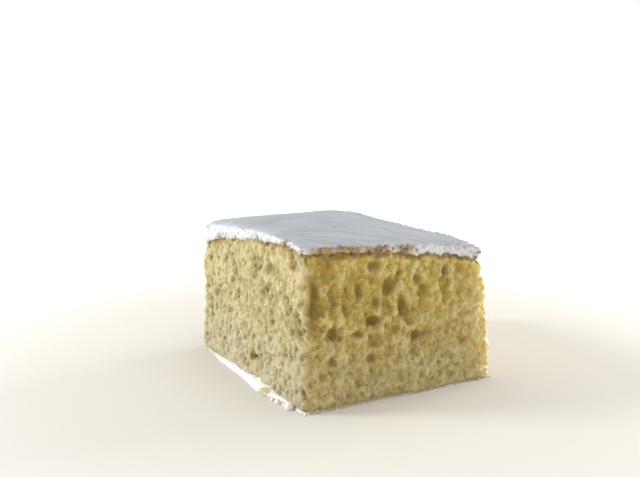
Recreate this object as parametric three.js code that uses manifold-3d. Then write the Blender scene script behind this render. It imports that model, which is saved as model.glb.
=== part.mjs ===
// A square-cut slice of milk-soaked sponge cake under a poured white icing, standing in a little milk.
// Millimetres, +Z up. The origin is the middle of the flat foot. The two cut faces that meet at the
// slice's nearest corner look along -X (left) and -Y (front).
import * as THREE from 'three';
import { mergeVertices } from 'three/addons/utils/BufferGeometryUtils.js';
import Module from 'manifold-3d';

const wasm = await Module();
wasm.setup();

// Slice, measured at its top edges
const WIDTH = 77; // along X, the front cut
const DEPTH = 89; // along Y, the left cut
const FOOT_SPREAD = 2.7; // how far the wet foot stands out on each side
const LEAN = 1.5; // how far the top leans to the left of the foot
// The right cut stands out below the icing: how far at the foot and at most, and the heights between which
// it draws in again
const BULGE = { foot: 0.7, most: 3.2, from: 36, to: 44 };
const CORNER_RADIUS = 2.4;
const CUT_WAVE = 0.7; // unevenness of the knife cuts
const WAVE_LENGTH = { x: 6.5, y: 7.5, slant: 4, up: 9 }; // its length along each way, for one radian

// Top of the crumb: its height at the four corners, and how far it swells between them
const HEIGHT = { frontLeft: 56.6, frontRight: 49.2, backLeft: 51.5, backRight: 51.2 };
const BOW = { front: 2.4, back: 0.8, left: 3, right: 0.2, middle: 2.2 };
const CRUMB_HUMPS = [{ u: -1, v: -0.72, height: 1.4, reach: 15 }]; // u and v run from -1 to 1 along X and Y

// Icing: a skin over the top, thicker towards the back, that laps a little way down the cuts
const ICING_THICK = { frontLeft: 1.5, frontRight: 3.8, backLeft: 4.6, backRight: 2.9 };
const ICING_HUMPS = [
  { u: 0.55, v: 0.95, height: 1.9, reach: 12 },
  { u: 0.95, v: -0.72, height: 1.4, reach: 10 },
];
const ICING_PROUD = { left: 0.8, right: 0.6 }; // how far the lap stands out from the cuts
const RIM_PROUD = 0.75; // share of it that is left at the lower rim
const ICING_LAP = { frontLeft: 0.5, frontRight: 1.6, backLeft: 0.5, backRight: 1.8 };
const LEAST_LAP = 0.5;
const CORNER_LAP = 4.2; // further down, where the icing has run over the back left corner
const ICING_EDGE_FALL = 0.4; // share of the thickness lost over the rounded top edge
// Soft folds left by pouring: their height, length for one radian, turn from X in degrees, and wander
const FOLD = { height: 0.25, length: 2.8, turn: -29, bend: 1.2, bendLength: 11 };
const DRIP = 0.5; // how ragged the lower rim is
const DRIPS_ROUND = [9, 17, 29];
const DRIP_TURN = 2.24; // radians by which the drips are turned round the rim

// Milk that has run out round the foot: a pool at the left, a thin bead elsewhere
const MILK_WIDTH = { frontLeft: 2, frontRight: 0.6, backLeft: 0.8, backRight: 0.8 };
// The pool along the left side widens towards the front up to its peak, and ends within a short run of it
const POOL = { width: 3.2, peak: -0.36, run: 0.3 }; // places and runs are shares of half the depth
const MILK_RIPPLE = 0.2; // share by which its edge wanders
const RIPPLES_ROUND = [7, 3];
const MILK_CLIMB = 2.7; // how far it is drawn up the cuts where the pool is deep
const MILK_DEPTH = 2.2;
const FULL_POOL = 4; // a pool this wide has its full depth
const LEAST_DEPTH = 0.4; // share of the full depth where the pool is narrow
const MILK_STEPS = 58; // sections round the foot
const CORNER_CROWDING = 0.16; // how far its points are drawn towards the corners

const GAP = 0.3; // between pieces that touch
const EDGE_CROWDING = 0.65; // how far a box's points are drawn towards its edges
const CRUMB_GRID = { along: 14, up: 7 }; // steps along each side and from the foot up
const ICING_GRID = { along: 24, up: 3 };

// Hollows in the crumb
const HOLLOW_TRIES = 56; // places tried on each face, from the top down
const HOLLOW_SIZE = { low: 2.1, high: 4.4 }; // typical width near the foot and near the top
const HOLLOW_SPACING = 1.5; // least distance between two, in half their widths together
const HOLLOW_SPREAD = { least: 0.75, most: 1.25 }; // of the typical width
const HOLLOW_TALLNESS = { least: 0.9, most: 1.7 }; // height over width
const HOLLOW_TILT = 0.6; // radians either way
const HOLLOW_DEPTH = 0.34; // of its width
const HOLLOW_JITTER = 0.18; // how far a hollow is from an even egg shape
const SMALL_HOLLOW = 4.6; // below this size a hollow has fewer sides
const FOOT_MARGIN = 5;
const TOP_MARGIN = 5;
const SEED = 20;

// The hollows that stand out most: across the face from its middle, up from the foot, wide, tall and deep
const LARGE_HOLLOWS = {
  front: [
    { across: -30, up: 48, wide: 6.5, tall: 6.5 },
    { across: -11, up: 47, wide: 5, tall: 4.5 },
    { across: -5, up: 40, wide: 6, tall: 7 },
    { across: 21, up: 42, wide: 4.5, tall: 7 },
    { across: 2, up: 31, wide: 5.5, tall: 8.5 },
    { across: -11, up: 29, wide: 6, tall: 4.5 },
    { across: 7, up: 21, wide: 5.5, tall: 5.5 },
    { across: -28, up: 27, wide: 6, tall: 8 },
    { across: -33.5, up: 37, wide: 5, tall: 24, deep: 1.4 },
  ],
  left: [
    { across: 0, up: 36, wide: 4.5, tall: 8 },
    { across: -11, up: 30, wide: 7, tall: 3 },
    { across: 38, up: 49, wide: 4, tall: 4 },
    { across: 6, up: 10, wide: 8, tall: 5.5 },
  ],
  back: [
    { across: -18, up: 38, wide: 6, tall: 7.5 },
    { across: 12, up: 27, wide: 5, tall: 7 },
  ],
  right: [
    { across: -20, up: 31, wide: 5.5, tall: 8 },
    { across: 16, up: 37, wide: 6, tall: 5 },
  ],
};

// Each cut face: how far it is turned from the front, and where a place across it lies in plan
const FACES = {
  front: { turn: 0, plan: (s) => [s, -1], half: WIDTH / 2 },
  right: { turn: Math.PI / 2, plan: (s) => [1, s], half: DEPTH / 2 },
  back: { turn: Math.PI, plan: (s) => [-s, 1], half: WIDTH / 2 },
  left: { turn: -Math.PI / 2, plan: (s) => [-1, -s], half: DEPTH / 2 },
};

// Small seeded generator of numbers from 0 to 1
function seeded(seed) {
  let state = seed;
  return () => {
    state = (state + 0x6d2b79f5) | 0;
    let t = Math.imul(state ^ (state >>> 15), 1 | state);
    t = (t + Math.imul(t ^ (t >>> 7), 61 | t)) ^ t;
    return ((t ^ (t >>> 14)) >>> 0) / 4294967296;
  };
}

// A value given at the four corners, at a place in plan, where u and v run from -1 to 1 along X and Y
function between(corners, u, v) {
  const front = corners.frontLeft * (1 - u) + corners.frontRight * (1 + u);
  const back = corners.backLeft * (1 - u) + corners.backRight * (1 + u);
  return (front * (1 - v) + back * (1 + v)) / 4;
}

// Height that soft humps add at a place in plan
function humps(list, u, v) {
  return list.reduce((sum, hump) => {
    const away = Math.hypot(((u - hump.u) * WIDTH) / 2, ((v - hump.v) * DEPTH) / 2) / hump.reach;
    return sum + hump.height * Math.exp((-away * away) / 2);
  }, 0);
}

// Height of the crumb's top
function crumbTop(u, v) {
  const alongX = (1 - u * u) * THREE.MathUtils.lerp(BOW.front, BOW.back, (1 + v) / 2);
  const alongY = (1 - v * v) * THREE.MathUtils.lerp(BOW.left, BOW.right, (1 + u) / 2);
  const swell = alongX + alongY + BOW.middle * (1 - u * u) * (1 - v * v);
  return between(HEIGHT, u, v) + swell + humps(CRUMB_HUMPS, u, v);
}

// A place in plan at a height, with the foot's spread, round upright corners and uneven cuts.
// grow moves the outline outwards.
function planPoint(u, v, z, grow) {
  const share = THREE.MathUtils.clamp(1 - z / HEIGHT.frontLeft, 0, 1);
  const spread = FOOT_SPREAD * share * share + grow;
  const half = new THREE.Vector2(WIDTH / 2 + spread, DEPTH / 2 + spread);
  const p = new THREE.Vector2(u * half.x, v * half.y);
  const radius = CORNER_RADIUS + Math.max(grow, 0);
  const past = new THREE.Vector2(Math.abs(p.x) - half.x + radius, Math.abs(p.y) - half.y + radius);
  if (past.x > 0 && past.y > 0) {
    const rounded = Math.max(past.x, past.y) / past.length() - 1;
    p.x += Math.sign(p.x) * past.x * rounded;
    p.y += Math.sign(p.y) * past.y * rounded;
  }
  const rise = z / WAVE_LENGTH.up;
  const slow = Math.sin(p.x / WAVE_LENGTH.x + rise) * Math.cos(p.y / WAVE_LENGTH.y - rise / 2);
  const quick = Math.sin((p.x - p.y) / WAVE_LENGTH.slant + rise);
  const edge = Math.max(Math.abs(u), Math.abs(v)) ** 6;
  p.addScaledVector(p.clone().normalize(), CUT_WAVE * (slow + quick / 2) * edge);
  const drawnIn = THREE.MathUtils.smoothstep(z, BULGE.from, BULGE.to);
  const bulge = THREE.MathUtils.lerp(BULGE.foot, BULGE.most, THREE.MathUtils.clamp(z / BULGE.from, 0, 1));
  p.x += bulge * (1 - drawnIn) * Math.max(u, 0) ** 2 - LEAN * (1 - share);
  return p;
}

// A box whose vertices are moved by place(u, v, w), with u and v from -1 to 1 and w from 0 to 1.
// Its points crowd towards the edges, where the shape turns.
function shapedBox(grid, place) {
  const box = new THREE.BoxGeometry(2, 2, 1, grid.along, grid.along, grid.up);
  const position = box.getAttribute('position');
  const towardsEdge = (s) => THREE.MathUtils.lerp(s, Math.sin((s * Math.PI) / 2), EDGE_CROWDING);
  for (let i = 0; i < position.count; i++) {
    const u = towardsEdge(position.getX(i));
    const v = towardsEdge(position.getY(i));
    position.setXYZ(i, ...place(u, v, position.getZ(i) + 0.5));
  }
  return box;
}

// A closed geometry as a solid to join and cut
function solidFrom(geometry) {
  const bare = geometry.clone();
  bare.deleteAttribute('normal');
  bare.deleteAttribute('uv');
  const merged = mergeVertices(bare, 1e-4);
  return new wasm.Manifold(
    new wasm.Mesh({
      numProp: 3,
      vertProperties: new Float32Array(merged.getAttribute('position').array),
      triVerts: new Uint32Array(merged.index.array),
    }),
  );
}

// A solid back as a geometry with flat-shaded normals
function geometryFrom(solid) {
  const mesh = solid.getMesh();
  const indexed = new THREE.BufferGeometry();
  indexed.setAttribute('position', new THREE.BufferAttribute(mesh.vertProperties, 3));
  indexed.setIndex(new THREE.BufferAttribute(mesh.triVerts, 1));
  const geometry = indexed.toNonIndexed();
  geometry.computeVertexNormals();
  return geometry;
}

// The whole block of crumb before its hollows, grown on all sides
function crumbBlock(grow) {
  return solidFrom(
    shapedBox(CRUMB_GRID, (u, v, w) => {
      const z = THREE.MathUtils.lerp(-grow, crumbTop(u, v) + grow, w);
      const p = planPoint(u, v, z, grow);
      return [p.x, p.y, z];
    }),
  );
}

// One hollow: an uneven egg shape that opens at the face of a cut
function hollowSolid(face, hollow, random) {
  const small = hollow.wide * hollow.tall < SMALL_HOLLOW * SMALL_HOLLOW;
  const egg = small ? new THREE.OctahedronGeometry(1, 1) : new THREE.IcosahedronGeometry(1, 1);
  egg.deleteAttribute('normal');
  egg.deleteAttribute('uv');
  const shape = mergeVertices(egg, 1e-4);
  const position = shape.getAttribute('position');
  for (let i = 0; i < position.count; i++) {
    const stretch = 1 + HOLLOW_JITTER * (2 * random() - 1);
    position.setXYZ(i, position.getX(i) * stretch, position.getY(i) * stretch, position.getZ(i) * stretch);
  }
  const [u, v] = face.plan(hollow.across / face.half);
  const p = planPoint(u, v, hollow.up, 0);
  shape.scale(hollow.wide / 2, hollow.deep ?? hollow.wide * HOLLOW_DEPTH, hollow.tall / 2);
  shape.rotateY(hollow.tilt ?? 0);
  shape.rotateZ(face.turn);
  shape.translate(p.x, p.y, hollow.up);
  return solidFrom(shape);
}

// The large hollows of a face, then smaller ones in the room that they leave, the largest first, at the top
function scatterHollows(face, large, random) {
  const placed = [...large];
  for (let i = 0; i < HOLLOW_TRIES; i++) {
    const rise = 1 - i / HOLLOW_TRIES;
    const across = (2 * random() - 1) * (face.half - CORNER_RADIUS / 2);
    const top = crumbTop(...face.plan(across / face.half)) - TOP_MARGIN;
    const typical = THREE.MathUtils.lerp(HOLLOW_SIZE.low, HOLLOW_SIZE.high, rise);
    const wide = typical * THREE.MathUtils.lerp(HOLLOW_SPREAD.least, HOLLOW_SPREAD.most, random());
    const next = {
      across,
      up: THREE.MathUtils.lerp(FOOT_MARGIN, top, rise),
      wide,
      tall: wide * THREE.MathUtils.lerp(HOLLOW_TALLNESS.least, HOLLOW_TALLNESS.most, random()),
      tilt: (2 * random() - 1) * HOLLOW_TILT,
    };
    const clear = placed.every((other) => {
      const dx = (next.across - other.across) / ((next.wide + other.wide) / 2);
      const dz = (next.up - other.up) / ((next.tall + other.tall) / 2);
      return Math.hypot(dx, dz) > HOLLOW_SPACING;
    });
    if (clear) placed.push(next);
  }
  return placed;
}

function makeSponge() {
  const random = seeded(SEED);
  const hollows = Object.entries(FACES).flatMap(([name, face]) =>
    scatterHollows(face, LARGE_HOLLOWS[name], random).map((hollow) => hollowSolid(face, hollow, random)),
  );
  const crumb = wasm.Manifold.difference([crumbBlock(0), ...hollows]);
  return geometryFrom(crumb);
}

// How far the icing laps down the cut at a place on its rim
function icingLap(u, v) {
  const angle = Math.atan2(v, u);
  const ragged = DRIPS_ROUND.reduce((sum, count) => sum + Math.sin(count * (angle + DRIP_TURN)), 0);
  const corner = CORNER_LAP * (((1 - u) * (1 + v)) / 4) ** 3;
  return Math.max(LEAST_LAP, between(ICING_LAP, u, v) + DRIP * ragged) + corner;
}

// Height of the pour's folds at a place on the icing
function foldHeight(u, v) {
  const place = new THREE.Vector2((u * WIDTH) / 2, (v * DEPTH) / 2);
  place.rotateAround(new THREE.Vector2(), THREE.MathUtils.degToRad(-FOLD.turn));
  return FOLD.height * Math.sin(place.y / FOLD.length + FOLD.bend * Math.sin(place.x / FOLD.bendLength));
}

function makeIcing() {
  const outer = shapedBox(ICING_GRID, (u, v, w) => {
    const edge = Math.max(Math.abs(u), Math.abs(v));
    const thick = between(ICING_THICK, u, v) + humps(ICING_HUMPS, u, v);
    const fold = foldHeight(u, v) * (1 - edge ** 4);
    const top = crumbTop(u, v) + thick * (1 - ICING_EDGE_FALL * edge ** 18) + fold;
    const rim = crumbTop(u, v) - icingLap(u, v);
    const z = THREE.MathUtils.lerp(rim, top, w);
    const most = THREE.MathUtils.lerp(ICING_PROUD.left, ICING_PROUD.right, (1 + u) / 2);
    const proud = most * THREE.MathUtils.lerp(RIM_PROUD, 1, Math.sin(w * Math.PI));
    const p = planPoint(u, v, z, proud);
    return [p.x, p.y, z];
  });
  return geometryFrom(solidFrom(outer).subtract(crumbBlock(GAP)));
}

// How far the milk reaches out from the foot at a place on its outline
function milkWidth(u, v) {
  const angle = Math.atan2(v, u);
  const filled = THREE.MathUtils.smoothstep(v, POOL.peak - POOL.run, POOL.peak);
  const pool = u < 0 ? POOL.width * Math.min(filled, (1 - v) / (1 - POOL.peak)) : 0;
  const ripple = RIPPLES_ROUND.reduce((product, count) => product * Math.sin(count * angle), MILK_RIPPLE);
  return (between(MILK_WIDTH, u, v) + pool) * (1 + ripple);
}

// A ring of milk whose section is swept round the foot: flat below, drawn up against the cake, round outside.
// It is swept from a little way inside the crumb, which is then cut out of it.
function makeMilk() {
  const section = [
    [-0.5, 0],
    [1, 0],
    [0.98, MILK_DEPTH * 0.3],
    [0.85, MILK_DEPTH * 0.66],
    [0.6, MILK_DEPTH * 0.92],
    [0.25, MILK_DEPTH * 1.05],
    [0, MILK_CLIMB],
    [-0.5, MILK_CLIMB],
    [-0.5, 0],
  ].map(([out, rise]) => new THREE.Vector2(1 + out, rise));
  const ring = new THREE.LatheGeometry(section, MILK_STEPS);
  ring.rotateX(Math.PI / 2);
  const position = ring.getAttribute('position');
  for (let i = 0; i < position.count; i++) {
    const out = Math.hypot(position.getX(i), position.getY(i)) - 1;
    const even = Math.atan2(position.getY(i), position.getX(i));
    const angle = even + CORNER_CROWDING * Math.sin(4 * even);
    const reach = Math.max(Math.abs(Math.cos(angle)), Math.abs(Math.sin(angle)));
    const [u, v] = [Math.cos(angle) / reach, Math.sin(angle) / reach];
    const width = milkWidth(u, v);
    const z = position.getZ(i) * THREE.MathUtils.clamp(width / FULL_POOL, LEAST_DEPTH, 1);
    const p = planPoint(u, v, z, GAP + out * (out > 0 ? width : FULL_POOL));
    position.setXYZ(i, p.x, p.y, z);
  }
  return geometryFrom(solidFrom(ring).subtract(crumbBlock(GAP)));
}

const spongeCrumb = new THREE.MeshStandardMaterial({ color: 0xcdbd85, roughness: 0.75, metalness: 0 });
const pouredIcing = new THREE.MeshStandardMaterial({ color: 0xf1f1ee, roughness: 0.3, metalness: 0 });
const sweetMilk = new THREE.MeshStandardMaterial({ color: 0xf5efdf, roughness: 0.15, metalness: 0 });

function piece(name, geometry, material) {
  const mesh = new THREE.Mesh(geometry, material);
  mesh.name = name;
  return mesh;
}

const slice = new THREE.Group();
slice.add(piece('sponge', makeSponge(), spongeCrumb));
slice.add(piece('icing', makeIcing(), pouredIcing));
slice.add(piece('milk', makeMilk(), sweetMilk));

export default slice;
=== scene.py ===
"""A square-cut slice of milk-soaked sponge cake under poured white icing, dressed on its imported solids."""

import math
import random

import bpy
from mathutils import Euler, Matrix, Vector


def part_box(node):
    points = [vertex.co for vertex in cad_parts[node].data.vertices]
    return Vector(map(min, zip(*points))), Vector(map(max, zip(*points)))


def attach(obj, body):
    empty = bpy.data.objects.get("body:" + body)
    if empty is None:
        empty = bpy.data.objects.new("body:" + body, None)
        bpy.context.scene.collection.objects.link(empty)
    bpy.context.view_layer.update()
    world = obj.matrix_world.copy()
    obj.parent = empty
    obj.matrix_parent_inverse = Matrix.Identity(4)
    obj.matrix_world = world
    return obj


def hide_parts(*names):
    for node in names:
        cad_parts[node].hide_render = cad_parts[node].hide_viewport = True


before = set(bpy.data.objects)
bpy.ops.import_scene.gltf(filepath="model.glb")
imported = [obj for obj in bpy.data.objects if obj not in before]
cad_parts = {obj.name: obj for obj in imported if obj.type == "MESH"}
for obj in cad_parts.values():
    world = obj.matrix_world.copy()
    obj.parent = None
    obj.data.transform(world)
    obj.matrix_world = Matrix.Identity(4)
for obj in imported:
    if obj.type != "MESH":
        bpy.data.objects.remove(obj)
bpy.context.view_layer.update()  # bodies, nodes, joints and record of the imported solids

MM = 0.001

# Camera: where it stands in millimetres, the way it looks, and its focal length in pixels of a 640 wide image
EYE = (-183.4, -311.2, 117.2)
YAW = 60.65  # degrees from +X towards +Y
PITCH = -10.25
FOCAL_PIXELS = 900
IMAGE_WIDTH = 640
SENSOR = 36
NEAREST = 10  # nothing nearer than this shows

# Meshes: corners nearer than this many millimetres are one, and the strength of each round of smoothing
MERGE = 0.001
SMOOTH_STRENGTH = 0.5
NOISE_SPREAD = 4  # noise strays from its middle by about a quarter of its range
SPOT_CORE = 0.2  # share of a round spot's radius that has its full strength

# Crumb, in millimetres: how fine its mesh is, and the relief of its cuts
CRUMB_VOXEL = 0.38
CRUMB_SMOOTHING = 4
# Hidden faces lie this far inside the outline and look this much up or down; this share of them is kept
HIDDEN_MARGIN, HIDDEN_LEVEL, HIDDEN_SHARE = 5, 0.6, 0.03
CRUMB_TRIANGLES = 190000  # left once the flatter places are thinned
FOOT_ZONE, TOP_ZONE = 8, 36  # heights between which the foot's fine grain gives way to the top's hollows
PULL, PULL_SIZE = 1.4, 5  # how far, and in how large patches, the even pits are pulled about
DRAG = 0.9  # how far the surface itself is pulled about, so that no hollow stays an even egg
SOFTENING = 30  # rounds of smoothing inside the solid's hollows
HOLLOW_FROM, HOLLOW_TO = 0.3, 1.2  # depths below the cut over which a hollow begins
LEFT_FROM, LEFT_TO = -0.3, -0.8  # how far to the left a place looks, over which it joins the left cut
# The pits in three sizes: width, greatest depth, height over width, and strength at the foot, at the top and
# on the left cut
PITS = (
    (5.6, 2.0, 1.3, 0.15, 0.85, 0.7),
    (3.0, 1.6, 1.3, 0.45, 0.4, 2.3),
    (1.6, 1.0, 1.4, 0.7, 0.4, 1.6),
)
PIT_RIM, PIT_FLOOR = 0.75, 0.05  # distances from a pit's middle, in widths, where its wall starts and ends
PIT_SHUT = 0.25  # share of the pits that stay shut
ROUGH_SIZE, ROUGH_TALLNESS, ROUGH_DEPTH = 2.2, 1.6, 1.6
SWELL = 0.85  # the ridges stand this far out, so that the cuts keep their place on the whole
FOOT_LOW, FOOT_HIGH = 0.1, 2.5  # heights over which the relief grows from the flat foot
TUCK = 0.2  # how far the crumb draws back under the icing
TUCK_FROM, TUCK_TO = 0.4, 2.5  # distances from the icing over which it stops drawing back
# Soft dents in the front cut, which the crumb's colour darkens as painted shade: their middle along it and
# up, width, height and depth
DENTS = (
    (-36.2, 39.5, 5.5, 28, 1.3),
    (-11.9, 50.0, 6.5, 5.5, 0.9),
    (-5.6, 42.0, 6.5, 8, 1.1),
    (1.2, 33.5, 5, 9, 1.4),
    (-11.6, 30.0, 7.5, 4.5, 1.3),
    (7.5, 43.1, 4.5, 5, 0.9),
    (20.4, 45.0, 4.5, 6.5, 1.2),
    (-28.4, 27.1, 7, 6.5, 1.0),
    (7.1, 22.0, 5.5, 5, 0.9),
    (-13.2, 16.2, 4, 4.5, 1.0),
    (-29.2, 17.2, 4, 5.5, 0.8),
    (-18.4, 25.7, 5, 3, 0.8),
    (-17.7, 41.1, 4, 8, 0.6),
    (-10.9, 36.6, 4, 5, 0.6),
)
FRONT_CUT, DENT_REACH = -45, 16  # where the front cut lies, and how far through it a dent reaches
DENT_RIM, DENT_FLOOR = 1.2, 0.3  # distances from a dent's middle, in half widths, of its rim and floor
SOAKED = 0.45  # share of the relief that is left in the dents
# Amber stains where syrup has run in: middle and radius
STAINS = (
    ((-31, -45, 51), 5.0),
    ((29, -45, 17.4), 3.0),
    ((27.6, -45, 26.6), 2.8),
    ((-5.5, -46, 16.5), 2.0),
    ((-40, -5, 10), 4.0),
    ((-39, -31, 56), 4.0),
)
# The crumb's colours: how large its patches are, and the heights, depths and distances that they follow; the
# depths set painted shade in the pits and painted highlight on the ridges
MOTTLE_SIZE, FILM_SIZE, SPECK_SIZE, GRAIN_SIZE = 6, 2, 1.4, 1.0
CRUST_EDGE_SIZE, CRUST_PATCH_SIZE = 2.5, 9
MILKY_LOW, MILKY_HIGH = 2, 34
RIDGE_LIGHT_FROM, RIDGE_LIGHT_TO = -0.6, -1.4
PIT_SHADE_FROM, PIT_SHADE_TO = -0.7, 1.2
HOLLOW_SHADE_FROM, HOLLOW_SHADE_TO = 1.2, 3.2
GLOW_FROM, GLOW_TO = 28, 38  # places along the front between which light begins to come through; the colour is painted paler there as a painted glow
CRUST_FROM, CRUST_TO, CRUST_RAGGED = -0.8, 1.0, 3.6
WET_LOW, WET_HIGH = 4, 30
GRAIN_DEPTH = 0.5
CRUMB_SCATTER = 3.5  # how far light spreads inside

# Icing, in millimetres
ICING_VOXEL = 0.4
ICING_TRIANGLES = 150000
ICING_SMOOTHING = 9
ICING_BACKING = 1.2  # how far the icing's hidden side reaches into the crumb
# Faces show that look up this much, or that look outwards and no further down than this
SHOWN_UP, SHOWN_DOWN = 0.3, -0.5
SIDE_FROM, SIDE_TO = 0.85, 0.35  # how far up a place looks, over which the top turns into the side
FRAY_WAYS = (3, 3, 7)  # the rim is frayed more up and down than sideways
FRAY, FRAY_SIZE = 0.6, 1.5  # how far its rim is frayed, and in how large tags
PINHOLE_SPACING, PINHOLE_DEPTH = 2.2, 1.3
PINHOLE_RIM, PINHOLE_FLOOR = 0.36, 0.14  # distances from its middle, in spacings
PINHOLE_SHUT = 0.4  # share of the places that have none
STREAK_TURN = 29.4  # degrees by which the pour's streaks run off to the right of the front
STREAK_LENGTH, STREAK_WIDTH, STREAK_DEPTH = 40, 12, 0.4
STREAK_EDGE = 0.07  # how far from its middle value the pour's noise still makes a streak
# The folds that show most, which run along the streaks: middle, length, width and depth
FOLDS = (
    ((-11.7, -11.8), 24, 5, 0.6),
    ((21.6, 2), 15, 4.5, 0.4),
    ((-2.8, -29.9), 13, 4, 0.4),
    ((-0.6, -8.9), 14, 5, 0.3),
    ((14.5, 37), 34, 7, 0.3),
)
FROTH_SIZE, FROTH_HEIGHT, FROTH_SINK = 2.0, 0.3, 0.5
FROTH_EDGE = 0.6  # distance from a bubble's middle, in sizes, where it meets the next
FROTH_FROM, FROTH_TO = 8, 32  # froth grows to the right between these places
# Where the browned crust shows through the icing's thin rim: middle and radius
BROWNED_RIM = (
    ((-32, -45.5, 57.5), 10),
    ((-22, -45.5, 57.5), 11),
    ((-11, -45.5, 57), 10),
    ((2, -45.5, 56), 7),
    ((38, -45.5, 51), 5),
    ((-40, -31, 58), 4),
    ((-40, 27, 51), 4),
)
RIM_HEIGHT = 1.2  # how far up from the crumb the rim is browned
CLOUD_SIZE, RIM_FLECK_SIZE = 14, 1.8
FOLD_SHADE_FULL = 0.6  # a fold this deep has its full painted shade
ICING_SCATTER = 1.5

# Milk, in millimetres
MILK_VOXEL = 0.22
MILK_SMOOTHING = 4
MILK_INNER = -0.3  # faces that look inwards this much are the hidden side
MILK_BACKING = 0.975  # the hidden side is drawn in by this, into the crumb
MILK_EDGE = -41.5  # to the left of this it stands as a pool, elsewhere as a thin film
MILK_FADE = 2.5  # over which the pool turns into the film
MILK_CLOUD_SIZE, MILK_SCATTER = 9, 2
BEADS = 90
BEAD_RADIUS = (0.25, 0.6)
BEAD_OUT = (-0.5, 0.3)  # how far out from the crumb's foot a bead stands
BEAD_SEGMENTS, BEAD_RINGS = 10, 7
BEAD_RISE, FLOOR_RISE = 0.2, 0.3  # shares of its radius that it is raised, and more so on the floor
TAN_PATCH, TAN_PATCH_REACH = (-45.0, -21.5, 0.8), 3.8  # a round tan patch at the pool's end
TAN_PATCH_CORE = 0.6  # share of its reach that has its full colour
LARGE_BEADS = ((-44.4, -32.6, 1.2), (-43.4, -39.6, 1.8), (-43.6, -36.2, 0.9), (-44.6, -28.8, 0.8))
SEED = 7

# Staging, in metres: the floor, where it turns white, and the lights' names, places, powers, colours, sizes
FLOOR_SIZE = 40
FLOOR_NEAR, FLOOR_FAR = 0.08, 0.40
AIM = (0, 0, 0.03)
SLICE_LIGHTS = (
    ("key_left", (-0.75, 0.42, 0.54), 6.1, "f6fcff", 0.22),
    ("fill_front", (0.15, -1.0, 0.45), 1.45, "fff4de", 0.8),
    ("rim_right", (0.80, 0.05, 0.17), 6.5, "ffffff", 0.4),
)
FLOOR_LIGHT_PLACE, FLOOR_LIGHT_POWER, FLOOR_LIGHT_ANGLE = (0, 0, 2), 2.9, 90
MILK_LIGHT_PLACE, MILK_LIGHT_POWER, MILK_LIGHT_SIZE = (-0.7, 0.1, 0.5), 3, 0.5
AMBIENT = 0.27


def srgb(code):
    """A six-digit hex colour as linear red, green, blue and alpha."""
    parts = [int(code[i:i + 2], 16) / 255 for i in (0, 2, 4)]
    return tuple(c / 12.92 if c <= 0.04045 else ((c + 0.055) / 1.055) ** 2.4 for c in parts) + (1.0,)


def node(tree, kind, inputs=None, **settings):
    """Adds a node with its settings. An input is a value, a node, or a node with the output to take."""
    made = tree.nodes.new(kind)
    for name, value in settings.items():
        setattr(made, name, value)
    for name, value in (inputs or {}).items():
        if isinstance(value, bpy.types.Node):
            value = (value, 0)
        if isinstance(value, tuple) and isinstance(value[0], bpy.types.Node):
            tree.links.new(value[0].outputs[value[1]], made.inputs[name])
        else:
            made.inputs[name].default_value = value
    return made


def make_camera():
    yaw, pitch = math.radians(YAW), math.radians(PITCH)
    looks = Vector((math.cos(pitch) * math.cos(yaw), math.cos(pitch) * math.sin(yaw), math.sin(pitch)))
    bpy.ops.object.camera_add(location=Vector(EYE) * MM, rotation=looks.to_track_quat("-Z", "Y").to_euler())
    camera = bpy.context.object
    camera.name = "camera"
    camera.data.sensor_fit = "HORIZONTAL"
    camera.data.sensor_width = SENSOR
    camera.data.lens = SENSOR * FOCAL_PIXELS / IMAGE_WIDTH
    camera.data.clip_start = NEAREST * MM
    bpy.context.scene.camera = camera


def select_only(piece):
    """Makes one piece the only one selected, and the active one."""
    bpy.ops.object.select_all(action="DESELECT")
    piece.select_set(True)
    bpy.context.view_layer.objects.active = piece


def copy_of_solid(node_name, name):
    """A free copy of a solid with its loose triangles merged."""
    piece = bpy.data.objects.new(name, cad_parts[node_name].data.copy())
    bpy.context.scene.collection.objects.link(piece)
    piece.data.materials.clear()
    select_only(piece)
    bpy.ops.object.mode_set(mode="EDIT")
    bpy.ops.mesh.select_all(action="SELECT")
    bpy.ops.mesh.remove_doubles(threshold=MERGE * MM)
    bpy.ops.object.mode_set(mode="OBJECT")
    return piece


def apply_modifier(piece, kind, **settings):
    """Adds a modifier to a piece and applies it at once."""
    select_only(piece)
    modifier = piece.modifiers.new(kind.lower(), kind)
    for name, value in settings.items():
        setattr(modifier, name, value)
    bpy.ops.object.modifier_apply(modifier=modifier.name)


def geometry_tree(name):
    """A geometry node tree with one geometry in and one out, and its input node."""
    tree = bpy.data.node_groups.new(name, "GeometryNodeTree")
    for way in ("INPUT", "OUTPUT"):
        tree.interface.new_socket("Geometry", in_out=way, socket_type="NodeSocketGeometry")
    return tree, node(tree, "NodeGroupInput")


def store(tree, geometry, values):
    """Stores values on a geometry's points under their names, for the materials."""
    for name, value in values.items():
        geometry = node(tree, "GeometryNodeStoreNamedAttribute", {
            "Geometry": geometry, "Name": name, "Value": value}, domain="POINT", data_type="FLOAT")
    return geometry


def distance_to_solid(tree, node_name, place):
    """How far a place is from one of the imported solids."""
    solid = node(tree, "GeometryNodeObjectInfo", {"Object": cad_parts[node_name]})
    return node(tree, "GeometryNodeProximity", {"Geometry": (solid, "Geometry"), "Sample Position": place})


def near_spots(tree, place, spots):
    """How near a place is to the middle of one of some round spots, from 0 to 1."""
    strength = 0.0
    for middle, radius in spots:
        away = node(tree, "ShaderNodeVectorMath", {0: place, 1: Vector(middle) * MM}, operation="DISTANCE")
        near = node(tree, "ShaderNodeMapRange", {
            "Value": (away, "Value"), "From Min": radius * MM, "From Max": SPOT_CORE * radius * MM},
            interpolation_type="SMOOTHSTEP")
        strength = node(tree, "ShaderNodeMath", {0: near, 1: strength}, operation="MAXIMUM")
    return strength


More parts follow.
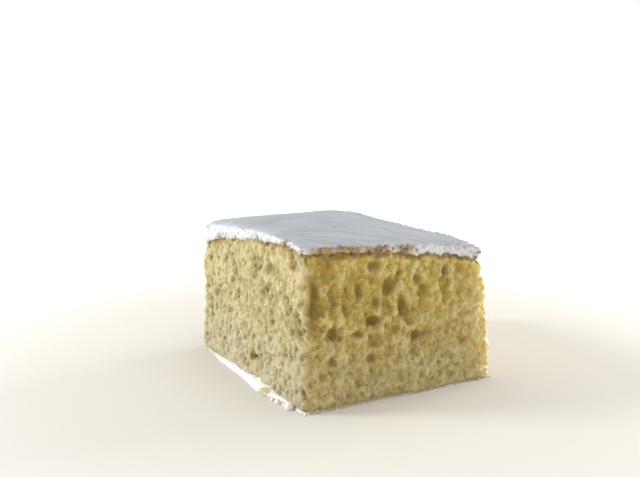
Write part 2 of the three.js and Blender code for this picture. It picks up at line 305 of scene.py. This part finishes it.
def pit_depth(tree, place, width, depth, tallness):
    """Pits that share their walls, each with a depth of its own in metres."""
    even = node(tree, "ShaderNodeVectorMath", {0: place, 1: (1, 1, 1 / tallness)}, operation="MULTIPLY")
    cells = node(tree, "ShaderNodeTexVoronoi", {"Vector": even, "Scale": 1 / (width * MM)})
    bowl = node(tree, "ShaderNodeMapRange", {
        "Value": (cells, "Distance"), "From Min": PIT_RIM, "From Max": PIT_FLOOR, "To Max": depth * MM},
        interpolation_type="SMOOTHSTEP")
    chance = node(tree, "ShaderNodeSeparateXYZ", {0: (cells, "Color")})
    open_share = node(tree, "ShaderNodeMapRange", {"Value": chance, "From Min": PIT_SHUT})
    return node(tree, "ShaderNodeMath", {0: bowl, 1: open_share}, operation="MULTIPLY")


def add_dents(tree, place, depth):
    """The dents' depth on top of the depth so far, and how far inside a dent a place is, which also sets
    painted shade in the colour.
    """
    damp = 0.0
    for along, up, wide, tall, deep in DENTS:
        scale = [2 / (size * MM) for size in (wide, DENT_REACH, tall)]
        shift = [-each * start * MM for each, start in zip(scale, (along, FRONT_CUT, up))]
        off = node(tree, "ShaderNodeVectorMath", {0: place, 1: scale, 2: shift}, operation="MULTIPLY_ADD")
        away = node(tree, "ShaderNodeVectorMath", {0: off}, operation="LENGTH")
        inside = node(tree, "ShaderNodeMapRange", {
            "Value": (away, "Value"), "From Min": DENT_RIM, "From Max": DENT_FLOOR},
            interpolation_type="SMOOTHSTEP")
        depth = node(tree, "ShaderNodeMath", {0: inside, 1: deep * MM, 2: depth}, operation="MULTIPLY_ADD")
        damp = node(tree, "ShaderNodeMath", {0: inside, 1: damp}, operation="MAXIMUM")
    return depth, damp


def soften_hollows(tree, block):
    """Rounds off the hollows' rims and leaves the cuts and corners as they are. Also gives the hull."""
    hull = node(tree, "GeometryNodeConvexHull", {"Geometry": block})
    place = node(tree, "GeometryNodeInputPosition")
    below = node(tree, "GeometryNodeProximity", {"Geometry": hull, "Sample Position": place})
    inside = node(tree, "ShaderNodeMapRange", {
        "Value": (below, "Distance"), "From Min": HOLLOW_FROM * MM, "From Max": HOLLOW_TO * MM},
        interpolation_type="SMOOTHSTEP")
    blurred = node(tree, "GeometryNodeBlurAttribute", {
        "Value": place, "Iterations": SOFTENING, "Weight": inside}, data_type="FLOAT_VECTOR")
    return node(tree, "GeometryNodeSetPosition", {"Geometry": block, "Position": blurred}), hull


def open_crumb_tree():
    """Carves the crumb's relief into the cuts, and stores what its colours follow: how deep a point lies
    in a pit and below the cut, which sets painted shade in the pits and hollows and painted highlight on the
    ridges, how near it is to the icing, how far it looks to the left, how far inside a dent it is, which sets
    painted shade there, and where it is stained."""
    tree, block = geometry_tree("open_crumb")
    soft, hull = soften_hollows(tree, block)
    place = node(tree, "GeometryNodeInputPosition")
    facing = node(tree, "GeometryNodeInputNormal")
    height = node(tree, "ShaderNodeSeparateXYZ", {0: place})
    way = node(tree, "ShaderNodeSeparateXYZ", {0: facing})
    rise = node(tree, "ShaderNodeMapRange", {
        "Value": (height, "Z"), "From Min": FOOT_ZONE * MM, "From Max": TOP_ZONE * MM},
        interpolation_type="SMOOTHSTEP")
    left = node(tree, "ShaderNodeMapRange", {
        "Value": (way, "X"), "From Min": LEFT_FROM, "From Max": LEFT_TO})
    loose = node(tree, "ShaderNodeTexNoise", {
        "Vector": place, "Scale": 1 / (PULL_SIZE * MM), "Detail": 4.0, "Roughness": 0.6})
    centred = node(tree, "ShaderNodeVectorMath", {
        0: (loose, "Color"), 1: (0.5, 0.5, 0.5)}, operation="SUBTRACT")
    shift = node(tree, "ShaderNodeVectorMath", {
        0: centred, "Scale": NOISE_SPREAD * PULL * MM}, operation="SCALE")
    warped = node(tree, "ShaderNodeVectorMath", {0: place, 1: shift}, operation="ADD")
    drawn = node(tree, "ShaderNodeVectorMath", {
        0: warped, 1: (1, 1, 1 / ROUGH_TALLNESS)}, operation="MULTIPLY")
    rough = node(tree, "ShaderNodeTexNoise", {
        "Vector": drawn, "Scale": 1 / (ROUGH_SIZE * MM), "Detail": 3.0, "Roughness": 0.6})
    depth = node(tree, "ShaderNodeMapRange", {
        "Value": rough, "To Min": (-ROUGH_DEPTH - SWELL) * MM, "To Max": (ROUGH_DEPTH - SWELL) * MM})
    for width, deepest, tallness, at_foot, at_top, on_left in PITS:
        by_height = node(tree, "ShaderNodeMapRange", {"Value": rise, "To Min": at_foot, "To Max": at_top})
        by_side = node(tree, "ShaderNodeMapRange", {"Value": left, "To Min": 1.0, "To Max": on_left})
        strength = node(tree, "ShaderNodeMath", {0: by_height, 1: by_side}, operation="MULTIPLY")
        pits = pit_depth(tree, warped, width, deepest, tallness)
        depth = node(tree, "ShaderNodeMath", {0: pits, 1: strength, 2: depth}, operation="MULTIPLY_ADD")
    dents, damp = add_dents(tree, warped, 0.0)
    smoothed = node(tree, "ShaderNodeMapRange", {"Value": damp, "To Min": 1.0, "To Max": SOAKED})
    level = node(tree, "ShaderNodeMath", {0: depth, 1: SWELL * MM}, operation="ADD")
    depth = node(tree, "ShaderNodeMath", {0: level, 1: smoothed, 2: -SWELL * MM}, operation="MULTIPLY_ADD")
    carving = node(tree, "ShaderNodeMath", {0: depth, 1: dents}, operation="ADD")
    near = distance_to_solid(tree, "icing", place)
    tuck = node(tree, "ShaderNodeMapRange", {
        "Value": (near, "Distance"), "From Min": TUCK_FROM * MM, "From Max": TUCK_TO * MM,
        "To Min": (SWELL + TUCK) * MM, "To Max": 0.0})
    carving = node(tree, "ShaderNodeMath", {0: carving, 1: tuck}, operation="ADD")
    free = node(tree, "ShaderNodeMapRange", {
        "Value": (height, "Z"), "From Min": FOOT_LOW * MM, "From Max": FOOT_HIGH * MM, "To Max": -1.0},
        interpolation_type="SMOOTHSTEP")
    outward = node(tree, "ShaderNodeMath", {0: carving, 1: free}, operation="MULTIPLY")
    carve = node(tree, "ShaderNodeVectorMath", {0: facing, "Scale": outward}, operation="SCALE")
    slack = node(tree, "ShaderNodeMath", {0: free, 1: -NOISE_SPREAD * DRAG * MM}, operation="MULTIPLY")
    drag = node(tree, "ShaderNodeVectorMath", {0: centred, "Scale": slack}, operation="SCALE")
    offset = node(tree, "ShaderNodeVectorMath", {0: carve, 1: drag}, operation="ADD")
    below = node(tree, "GeometryNodeProximity", {"Geometry": hull, "Sample Position": place})
    noted = store(tree, soft, {
        "pit": depth, "hollow": (below, "Distance"), "icing_gap": (near, "Distance"), "left_cut": left,
        "damp": damp, "stain": near_spots(tree, warped, STAINS)})
    carved = node(tree, "GeometryNodeSetPosition", {"Geometry": noted, "Offset": offset})
    node(tree, "NodeGroupOutput", {"Geometry": carved})
    return tree


def frothy_icing_tree():
    """Frays the icing's rim, pricks pinholes in it, draws the pour's soft streaks over the top and raises
    froth on the right. It stores the pinholes, the height over the crumb, the browned places and the folds'
    depth, from which the icing paints shade into its folds."""
    tree, smooth = geometry_tree("frothy_icing")
    place = node(tree, "GeometryNodeInputPosition")
    facing = node(tree, "GeometryNodeInputNormal")
    spot = node(tree, "ShaderNodeSeparateXYZ", {0: place})
    way = node(tree, "ShaderNodeSeparateXYZ", {0: facing})
    side = node(tree, "ShaderNodeMapRange", {
        "Value": (way, "Z"), "From Min": SIDE_FROM, "From Max": SIDE_TO})
    top = node(tree, "ShaderNodeMath", {0: 1.0, 1: side}, operation="SUBTRACT")
    right = node(tree, "ShaderNodeMapRange", {
        "Value": (spot, "X"), "From Min": FROTH_FROM * MM, "From Max": FROTH_TO * MM},
        interpolation_type="SMOOTHSTEP")
    tags = node(tree, "ShaderNodeTexNoise", {
        "Vector": place, "Scale": 1 / (FRAY_SIZE * MM), "Detail": 3.0})
    centred = node(tree, "ShaderNodeVectorMath", {
        0: (tags, "Color"), 1: (0.5, 0.5, 0.5)}, operation="SUBTRACT")
    frayed = node(tree, "ShaderNodeVectorMath", {
        0: centred, 1: Vector(FRAY_WAYS) * FRAY * MM}, operation="MULTIPLY")
    fray = node(tree, "ShaderNodeVectorMath", {0: frayed, "Scale": side}, operation="SCALE")
    cells = node(tree, "ShaderNodeTexVoronoi", {"Vector": place, "Scale": 1 / (PINHOLE_SPACING * MM)})
    chance = node(tree, "ShaderNodeSeparateXYZ", {0: (cells, "Color")})
    pricked = node(tree, "ShaderNodeMath", {0: chance, 1: PINHOLE_SHUT}, operation="GREATER_THAN")
    round_hole = node(tree, "ShaderNodeMapRange", {
        "Value": (cells, "Distance"), "From Min": PINHOLE_RIM, "From Max": PINHOLE_FLOOR},
        interpolation_type="SMOOTHSTEP")
    on_side = node(tree, "ShaderNodeMath", {0: pricked, 1: side}, operation="MULTIPLY")
    pinhole = node(tree, "ShaderNodeMath", {0: round_hole, 1: on_side}, operation="MULTIPLY")
    turned = node(tree, "ShaderNodeVectorRotate", {
        "Vector": place, "Angle": math.radians(STREAK_TURN)}, rotation_type="Z_AXIS")
    drawn = node(tree, "ShaderNodeVectorMath", {
        0: turned, 1: (1 / (STREAK_LENGTH * MM), 1 / (STREAK_WIDTH * MM), 0)}, operation="MULTIPLY")
    pour = node(tree, "ShaderNodeTexNoise", {
        "Vector": drawn, "Scale": 1.0, "Detail": 2.0, "Distortion": 0.4})
    away = node(tree, "ShaderNodeMath", {0: pour, 1: 0.5}, operation="SUBTRACT")
    spread = node(tree, "ShaderNodeMath", {0: away}, operation="ABSOLUTE")
    crease = node(tree, "ShaderNodeMapRange", {
        "Value": spread, "From Min": STREAK_EDGE, "From Max": 0.0, "To Max": STREAK_DEPTH * MM},
        interpolation_type="SMOOTHSTEP")
    for middle, length, width, depth in FOLDS:
        start = Vector((*middle, 0)) * MM
        start.rotate(Euler((0, 0, math.radians(STREAK_TURN))))
        scale = Vector((2 / length, 2 / width, 0)) / MM
        off = node(tree, "ShaderNodeVectorMath", {
            0: turned, 1: scale, 2: -scale * start}, operation="MULTIPLY_ADD")
        reach = node(tree, "ShaderNodeVectorMath", {0: off}, operation="LENGTH")
        fold = node(tree, "ShaderNodeMapRange", {
            "Value": (reach, "Value"), "From Min": 1.0, "From Max": 0.0, "To Max": depth * MM},
            interpolation_type="SMOOTHSTEP")
        crease = node(tree, "ShaderNodeMath", {0: fold, 1: crease}, operation="MAXIMUM")
    sunk = node(tree, "ShaderNodeMath", {0: crease, 1: top}, operation="MULTIPLY")
    bubbles = node(tree, "ShaderNodeTexVoronoi", {
        "Vector": place, "Scale": 1 / (FROTH_SIZE * MM), "Smoothness": 0.2}, feature="SMOOTH_F1")
    lumps = node(tree, "ShaderNodeMapRange", {
        "Value": (bubbles, "Distance"), "From Min": FROTH_EDGE, "From Max": 0.0,
        "To Min": -FROTH_SINK * MM, "To Max": FROTH_HEIGHT * MM})
    froth = node(tree, "ShaderNodeMath", {0: lumps, 1: right}, operation="MULTIPLY")
    over = node(tree, "ShaderNodeMath", {0: froth, 1: sunk}, operation="SUBTRACT")
    rise = node(tree, "ShaderNodeMath", {
        0: pinhole, 1: -PINHOLE_DEPTH * MM, 2: over}, operation="MULTIPLY_ADD")
    raised = node(tree, "ShaderNodeVectorMath", {0: facing, "Scale": rise}, operation="SCALE")
    offset = node(tree, "ShaderNodeVectorMath", {0: raised, 1: fray}, operation="ADD")
    stain = node(tree, "ShaderNodeMath", {
        0: near_spots(tree, place, BROWNED_RIM), 1: side}, operation="MULTIPLY")
    # The folds' depth is kept for painted shade in the icing's colour
    noted = store(tree, smooth, {
        "pinhole": pinhole, "crumb_gap": (distance_to_solid(tree, "sponge", place), "Distance"),
        "stain": stain, "crease": sunk})
    worked = node(tree, "GeometryNodeSetPosition", {"Geometry": noted, "Offset": offset})
    node(tree, "NodeGroupOutput", {"Geometry": worked})
    return tree


def thin_to(piece, triangles):
    """Thins a mesh where it is flattest, down to a number of triangles."""
    piece.data.calc_loop_triangles()
    apply_modifier(piece, "DECIMATE", ratio=triangles / len(piece.data.loop_triangles))


def thin_hidden_faces(piece):
    """Thins the faces above and below that lie well inside the outline, where nothing shows."""
    low, high = (Vector(map(pick, zip(*piece.bound_box))) for pick in (min, max))
    margin = HIDDEN_MARGIN * MM
    select_only(piece)
    for face in piece.data.polygons:
        c = face.center
        inside = low.x + margin < c.x < high.x - margin and low.y + margin < c.y < high.y - margin
        face.select = inside and abs(face.normal.z) > HIDDEN_LEVEL
    bpy.ops.object.mode_set(mode="EDIT")
    bpy.ops.mesh.select_mode(type="FACE")
    bpy.ops.mesh.decimate(ratio=HIDDEN_SHARE)
    bpy.ops.object.mode_set(mode="OBJECT")


def make_sponge():
    sponge = copy_of_solid("sponge", "sponge_crumb")
    apply_modifier(sponge, "REMESH", mode="VOXEL", voxel_size=CRUMB_VOXEL * MM)
    apply_modifier(sponge, "SMOOTH", iterations=CRUMB_SMOOTHING, factor=SMOOTH_STRENGTH)
    apply_modifier(sponge, "NODES", node_group=open_crumb_tree())
    thin_hidden_faces(sponge)
    thin_to(sponge, CRUMB_TRIANGLES)
    bpy.ops.object.shade_smooth()
    sponge.data.materials.append(crumb_material())
    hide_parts("sponge")
    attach(sponge, "root")


def make_icing():
    icing = copy_of_solid("icing", "poured_icing")
    middle = sum((v.co for v in icing.data.vertices), Vector()) / len(icing.data.vertices)
    outside = set()
    for face in icing.data.polygons:
        outwards = face.normal.xy.dot((face.center - middle).xy)
        if face.normal.z > SHOWN_UP or (face.normal.z > SHOWN_DOWN and outwards > 0):
            outside.update(face.vertices)
    hidden = icing.vertex_groups.new(name="hidden")
    hidden.add([v.index for v in icing.data.vertices if v.index not in outside], 1.0, "REPLACE")
    apply_modifier(icing, "DISPLACE", strength=ICING_BACKING * MM, mid_level=0.0, vertex_group="hidden")
    apply_modifier(icing, "REMESH", mode="VOXEL", voxel_size=ICING_VOXEL * MM)
    apply_modifier(icing, "SMOOTH", iterations=ICING_SMOOTHING, factor=SMOOTH_STRENGTH)
    apply_modifier(icing, "NODES", node_group=frothy_icing_tree())
    thin_to(icing, ICING_TRIANGLES)
    bpy.ops.object.shade_smooth()
    icing.data.materials.append(icing_material())
    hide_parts("icing")
    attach(icing, "root")


def make_milk():
    milk = copy_of_solid("milk", "milk_pool")
    for face in milk.data.polygons:
        face.select = face.normal.xy.dot(face.center.xy.normalized()) < MILK_INNER
    bpy.ops.object.mode_set(mode="EDIT")
    bpy.ops.transform.resize(value=(MILK_BACKING, MILK_BACKING, 1), center_override=(0, 0, 0))
    bpy.ops.object.mode_set(mode="OBJECT")
    apply_modifier(milk, "REMESH", mode="VOXEL", voxel_size=MILK_VOXEL * MM)
    apply_modifier(milk, "SMOOTH", iterations=MILK_SMOOTHING, factor=SMOOTH_STRENGTH)
    bpy.ops.object.shade_smooth()
    milk.data.materials.append(milk_material("sweet_milk", "e4d8a8"))
    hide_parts("milk")
    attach(milk, "root")
    return milk


def make_beads(milk):
    """Beads of milk along the foot of the cuts, set into the pool's surface or on the floor beside it."""
    draw = random.Random(SEED)
    low, high = (Vector(corner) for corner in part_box("sponge"))
    spots = [(Vector((x, y, 0)) * MM, radius * MM) for x, y, radius in LARGE_BEADS]
    for _ in range(BEADS):
        out = draw.uniform(*BEAD_OUT) * MM
        across = draw.choice((0, 1))
        spot = Vector(draw.uniform(low[i], high[i]) for i in range(3))
        spot[across] = draw.choice((low[across] - out, high[across] + out))
        spots.append((spot, draw.uniform(*BEAD_RADIUS) * MM))
    bpy.ops.object.select_all(action="DESELECT")
    beads = []
    for spot, radius in spots:
        met, surface, _, _ = milk.ray_cast((spot.x, spot.y, high.z), (0, 0, -1))
        height = surface.z if met else FLOOR_RISE * radius
        bpy.ops.mesh.primitive_uv_sphere_add(
            segments=BEAD_SEGMENTS, ring_count=BEAD_RINGS, radius=radius,
            location=(spot.x, spot.y, height + BEAD_RISE * radius))
        beads.append(bpy.context.object)
    for bead in beads:
        bead.select_set(True)
    bpy.ops.object.join()
    joined = bpy.context.object
    joined.name = "milk_beads"
    bpy.ops.object.transform_apply(location=True, rotation=True, scale=True)
    bpy.ops.object.shade_smooth()
    joined.data.materials.append(milk_material("sweet_milk_drops", "f5f1e4"))
    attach(joined, "root")
    return milk, joined


def new_material(name):
    """A node material with its tree and its shader."""
    material = bpy.data.materials.new(name)
    material.use_nodes = True
    return material, material.node_tree, material.node_tree.nodes["Principled BSDF"]


def clouds(tree, place, size, detail):
    """Soft cloudy noise in patches of a size in millimetres."""
    return node(tree, "ShaderNodeTexNoise", {
        "Vector": (place, "Object"), "Scale": 1 / (size * MM), "Detail": detail})


def blend(tree, share, start, end):
    """Blends two colours by a share. A colour is a hex code or the node of an earlier blend."""
    first, second = (srgb(colour) if isinstance(colour, str) else (colour, 2) for colour in (start, end))
    return node(tree, "ShaderNodeMix", {0: share, 6: first, 7: second}, data_type="RGBA")


def crumb_material():
    # Soaked egg sponge: pale yellow crumb that lets light in, cream on its ridges as painted highlight,
    # deeper yellow inside its pits and hollows and olive in the dents as painted shade, browned next to the
    # icing, milky on the left cut, where the paler colour is partly a painted sheen, and towards the foot,
    # where it is also wet and glossy; light comes through its right edge, which is also painted paler as a
    # painted glow
    material, tree, shader = new_material("soaked_sponge_crumb")
    place = node(tree, "ShaderNodeTexCoord")
    noted = {name: node(tree, "ShaderNodeAttribute", attribute_name=name)
             for name in ("pit", "hollow", "icing_gap", "left_cut", "damp", "stain")}
    height = node(tree, "ShaderNodeSeparateXYZ", {0: (place, "Object")})
    mottle = clouds(tree, place, MOTTLE_SIZE, 3.0)
    crumb = blend(tree, mottle, "d3b646", "e5ce76")
    low = node(tree, "ShaderNodeMapRange", {
        "Value": (height, "Z"), "From Min": MILKY_LOW * MM, "From Max": MILKY_HIGH * MM,
        "To Min": 0.65, "To Max": 0.0})
    # Milky film towards the foot and on the left cut; on the left cut, which faces the light, the paler
    # colour is partly a painted sheen
    soaked = node(tree, "ShaderNodeMath", {
        0: (noted["left_cut"], "Fac"), 1: 0.75, 2: low}, operation="MULTIPLY_ADD")
    film = clouds(tree, place, FILM_SIZE, 3.0)
    milky = node(tree, "ShaderNodeMath", {0: soaked, 1: film}, operation="MULTIPLY", use_clamp=True)
    milk_and_sheen = blend(tree, milky, crumb, "e4dcc9")
    # Painted highlight: the ridges that stand out are paler cream
    ridge_highlight = node(tree, "ShaderNodeMapRange", {
        "Value": (noted["pit"], "Fac"), "From Min": RIDGE_LIGHT_FROM * MM, "From Max": RIDGE_LIGHT_TO * MM,
        "To Max": 0.75})
    speck = clouds(tree, place, SPECK_SIZE, 2.0)
    speckled = node(tree, "ShaderNodeMapRange", {
        "Value": speck, "From Min": 0.52, "From Max": 0.68, "To Max": 0.45})
    fleck = blend(tree, speckled, milk_and_sheen, "968136")
    ridge_highlighted = blend(tree, ridge_highlight, fleck, "f5e8b9")
    # Painted shade: the pits and the deep hollows are deeper yellow
    pit = node(tree, "ShaderNodeMapRange", {
        "Value": (noted["pit"], "Fac"), "From Min": PIT_SHADE_FROM * MM, "From Max": PIT_SHADE_TO * MM,
        "To Max": 0.8})
    deep = node(tree, "ShaderNodeMapRange", {
        "Value": (noted["hollow"], "Fac"), "From Min": HOLLOW_SHADE_FROM * MM, "From Max": HOLLOW_SHADE_TO * MM,
        "To Max": 0.55}, interpolation_type="SMOOTHSTEP")
    sunk = node(tree, "ShaderNodeMath", {0: pit, 1: deep}, operation="MAXIMUM")
    pit_shaded = blend(tree, sunk, ridge_highlighted, "866a06")
    # Painted shade: the dents are dark olive
    dent_shade_share = node(tree, "ShaderNodeMath", {0: (noted["damp"], "Fac"), 1: 0.85}, operation="MULTIPLY")
    olive = blend(tree, dent_shade_share, pit_shaded, "866a00")
    stained = node(tree, "ShaderNodeMath", {0: (noted["stain"], "Fac"), 1: 0.7}, operation="MULTIPLY")
    amber = blend(tree, stained, olive, "a8741f")
    # Painted glow: paler yellow towards the right edge, where light comes through
    thin = node(tree, "ShaderNodeMapRange", {
        "Value": height, "From Min": GLOW_FROM * MM, "From Max": GLOW_TO * MM})
    lit = node(tree, "ShaderNodeMath", {0: thin, 1: 0.6}, operation="MULTIPLY")
    glow_painted = blend(tree, lit, amber, "fae59e")
    edge = clouds(tree, place, CRUST_EDGE_SIZE, 3.0)
    ragged = node(tree, "ShaderNodeMath", {0: edge, 1: CRUST_RAGGED * MM}, operation="MULTIPLY")
    reach = node(tree, "ShaderNodeMath", {0: (noted["icing_gap"], "Fac"), 1: ragged}, operation="SUBTRACT")
    baked = node(tree, "ShaderNodeMapRange", {
        "Value": reach, "From Min": CRUST_FROM * MM, "From Max": CRUST_TO * MM,
        "To Min": 0.85, "To Max": 0.0}, interpolation_type="SMOOTHSTEP")
    patch = clouds(tree, place, CRUST_PATCH_SIZE, 1.0)
    patchy = node(tree, "ShaderNodeMapRange", {
        "Value": patch, "From Min": 0.42, "From Max": 0.6, "To Min": 0.2, "To Max": 1.0})
    spread = node(tree, "ShaderNodeMix", {
        0: (noted["left_cut"], "Fac"), 2: 1.0, 3: patchy}, data_type="FLOAT")
    browned = node(tree, "ShaderNodeMath", {0: baked, 1: spread}, operation="MULTIPLY")
    crust = blend(tree, mottle, "80603a", "c89a58")
    colour = blend(tree, browned, glow_painted, crust)
    tree.links.new(colour.outputs[2], shader.inputs["Base Color"])
    wet = node(tree, "ShaderNodeMapRange", {
        "Value": (height, "Z"), "From Min": WET_LOW * MM, "From Max": WET_HIGH * MM,
        "To Min": 0.3, "To Max": 0.5})
    tree.links.new(wet.outputs[0], shader.inputs["Roughness"])
    grain = node(tree, "ShaderNodeTexNoise", {
        "Vector": (place, "Object"), "Scale": 1 / (GRAIN_SIZE * MM), "Detail": 4.0, "Roughness": 0.65})
    bump = node(tree, "ShaderNodeBump", {"Height": grain, "Distance": GRAIN_DEPTH * MM, "Strength": 0.8})
    tree.links.new(bump.outputs[0], shader.inputs["Normal"])
    through = node(tree, "ShaderNodeMapRange", {"Value": thin, "To Min": 0.4, "To Max": 1.0})
    tree.links.new(through.outputs[0], shader.inputs["Subsurface Weight"])
    shader.inputs["Subsurface Radius"].default_value = (1.0, 0.8, 0.4)
    shader.inputs["Subsurface Scale"].default_value = CRUMB_SCATTER * MM
    return material


def icing_material():
    # Poured sugar icing: white with a satin skin that softens the light inside it, grey in its folds as
    # painted shade, dull brown in its pinholes and where the crust shows through its rim
    material, tree, shader = new_material("poured_sugar_icing")
    place = node(tree, "ShaderNodeTexCoord")
    noted = {name: node(tree, "ShaderNodeAttribute", attribute_name=name)
             for name in ("pinhole", "crumb_gap", "stain", "crease")}
    cloud = clouds(tree, place, CLOUD_SIZE, 2.0)
    sugar = blend(tree, cloud, "eff1f4", "fcfbf8")
    # Painted shade: the folds are greyer the deeper they are
    fold = node(tree, "ShaderNodeMapRange", {
        "Value": (noted["crease"], "Fac"), "From Max": FOLD_SHADE_FULL * MM, "To Max": 0.5})
    fold_shaded = blend(tree, fold, sugar, "c3c8d2")
    hole = node(tree, "ShaderNodeMath", {0: (noted["pinhole"], "Fac"), 1: 0.6}, operation="MULTIPLY")
    pricked = blend(tree, hole, fold_shaded, "7d6846")
    fleck = clouds(tree, place, RIM_FLECK_SIZE, 3.0)
    ragged = node(tree, "ShaderNodeMath", {0: fleck, 1: 1.6 * RIM_HEIGHT * MM}, operation="MULTIPLY")
    reach = node(tree, "ShaderNodeMath", {0: (noted["crumb_gap"], "Fac"), 1: ragged}, operation="SUBTRACT")
    rim = node(tree, "ShaderNodeMapRange", {
        "Value": reach, "From Min": RIM_HEIGHT * MM, "From Max": 0.3 * RIM_HEIGHT * MM, "To Max": 0.9},
        interpolation_type="SMOOTHSTEP")
    browned = node(tree, "ShaderNodeMath", {0: rim, 1: (noted["stain"], "Fac")}, operation="MULTIPLY")
    spotty = node(tree, "ShaderNodeMapRange", {"Value": fleck, "From Min": 0.35, "From Max": 0.65})
    crust = blend(tree, spotty, "764f20", "cda668")
    colour = blend(tree, browned, pricked, crust)
    tree.links.new(colour.outputs[2], shader.inputs["Base Color"])
    rough = node(tree, "ShaderNodeMapRange", {"Value": cloud, "To Min": 0.22, "To Max": 0.4})
    tree.links.new(rough.outputs[0], shader.inputs["Roughness"])
    shader.inputs["Subsurface Weight"].default_value = 0.3
    shader.inputs["Subsurface Radius"].default_value = (1.0, 0.9, 0.8)
    shader.inputs["Subsurface Scale"].default_value = ICING_SCATTER * MM
    return material


def milk_material(name, film):
    # Sweetened milk: cream white and wet where it stands, the colour of soaked crumb where it is a thin film,
    # tan in a round patch at the pool's end
    material, tree, shader = new_material(name)
    place = node(tree, "ShaderNodeTexCoord")
    across = node(tree, "ShaderNodeSeparateXYZ", {0: (place, "Object")})
    thin = node(tree, "ShaderNodeMapRange", {
        "Value": across, "From Min": MILK_EDGE * MM, "From Max": (MILK_EDGE + MILK_FADE) * MM})
    cloud = clouds(tree, place, MILK_CLOUD_SIZE, 2.0)
    pool = blend(tree, cloud, "f6f3ea", "fdfcf8")
    filmy = blend(tree, thin, pool, film)
    away = node(tree, "ShaderNodeVectorMath", {
        0: (place, "Object"), 1: Vector(TAN_PATCH) * MM}, operation="DISTANCE")
    clear = node(tree, "ShaderNodeMapRange", {
        "Value": (away, "Value"), "From Min": TAN_PATCH_REACH * MM, "From Max": TAN_PATCH_CORE * TAN_PATCH_REACH * MM,
        "To Max": 0.8}, interpolation_type="SMOOTHSTEP")
    colour = blend(tree, clear, filmy, "bfae78")
    tree.links.new(colour.outputs[2], shader.inputs["Base Color"])
    shader.inputs["Roughness"].default_value = 0.08
    shader.inputs["Subsurface Weight"].default_value = 0.4
    shader.inputs["Subsurface Radius"].default_value = (1.0, 0.9, 0.7)
    shader.inputs["Subsurface Scale"].default_value = MILK_SCATTER * MM
    return material


def make_floor():
    bpy.ops.mesh.primitive_plane_add(size=FLOOR_SIZE)
    floor = bpy.context.object
    floor.name = "floor"
    # Matt paper sweep: warm pale grey under the slice, white further off
    material, tree, shader = new_material("pale_floor")
    place = node(tree, "ShaderNodeTexCoord")
    away = node(tree, "ShaderNodeVectorMath", {0: (place, "Object")}, operation="LENGTH")
    far = node(tree, "ShaderNodeMapRange", {
        "Value": (away, "Value"), "From Min": FLOOR_NEAR, "From Max": FLOOR_FAR},
        interpolation_type="SMOOTHSTEP")
    colour = blend(tree, far, "c4bfb6", "fbfbfb")
    tree.links.new(colour.outputs[2], shader.inputs["Base Color"])
    shader.inputs["Roughness"].default_value = 0.9
    shader.inputs["Specular IOR Level"].default_value = 0.0
    floor.data.materials.append(material)
    return floor


def aimed_light(kind, name, place, power, colour, **settings):
    """A light at a place, in metres, turned to the slice."""
    aim = Vector(AIM) - Vector(place)
    bpy.ops.object.light_add(type=kind, location=place, rotation=aim.to_track_quat("-Z", "Y").to_euler())
    light = bpy.context.object
    light.name = name
    light.data.energy = power
    light.data.color = srgb(colour)[:3]
    for setting, value in settings.items():
        setattr(light.data, setting, value)
    return light


def light_only(light, pieces):
    """Lets a light fall on some pieces alone."""
    lit = bpy.data.collections.new(light.name + "_on")
    for piece in pieces:
        lit.objects.link(piece)
    light.light_linking.receiver_collection = lit


def make_lights(floor, milk):
    """Lights from the left, the front and the right, and a white backdrop that only the camera sees."""
    for name, place, power, colour, size in SLICE_LIGHTS:
        aimed_light("AREA", name, place, power, colour, size=size)
    # Even lights for the floor and for the low milk, so that they stay pale beside the lit slice
    over_floor = aimed_light("SUN", "floor_light", FLOOR_LIGHT_PLACE, FLOOR_LIGHT_POWER, "ffffff",
                             angle=math.radians(FLOOR_LIGHT_ANGLE))
    light_only(over_floor, [floor])
    over_milk = aimed_light("AREA", "milk_light", MILK_LIGHT_PLACE, MILK_LIGHT_POWER, "ffffff",
                            size=MILK_LIGHT_SIZE)
    light_only(over_milk, milk)
    world = bpy.data.worlds.new("studio")
    bpy.context.scene.world = world
    world.use_nodes = True
    tree = world.node_tree
    ambient = tree.nodes["Background"]
    ambient.inputs["Color"].default_value = srgb("e8eef8")
    ambient.inputs["Strength"].default_value = AMBIENT
    backdrop = node(tree, "ShaderNodeBackground", {"Color": srgb("ffffff"), "Strength": 1.0})
    seen = node(tree, "ShaderNodeLightPath")
    both = node(tree, "ShaderNodeMixShader", {0: (seen, "Is Camera Ray"), 1: ambient, 2: backdrop})
    tree.links.new(both.outputs[0], tree.nodes["World Output"].inputs["Surface"])
    bpy.context.scene.view_settings.view_transform = "Standard"


make_camera()
make_sponge()
make_icing()
milk_pieces = make_beads(make_milk())
make_lights(make_floor(), milk_pieces)
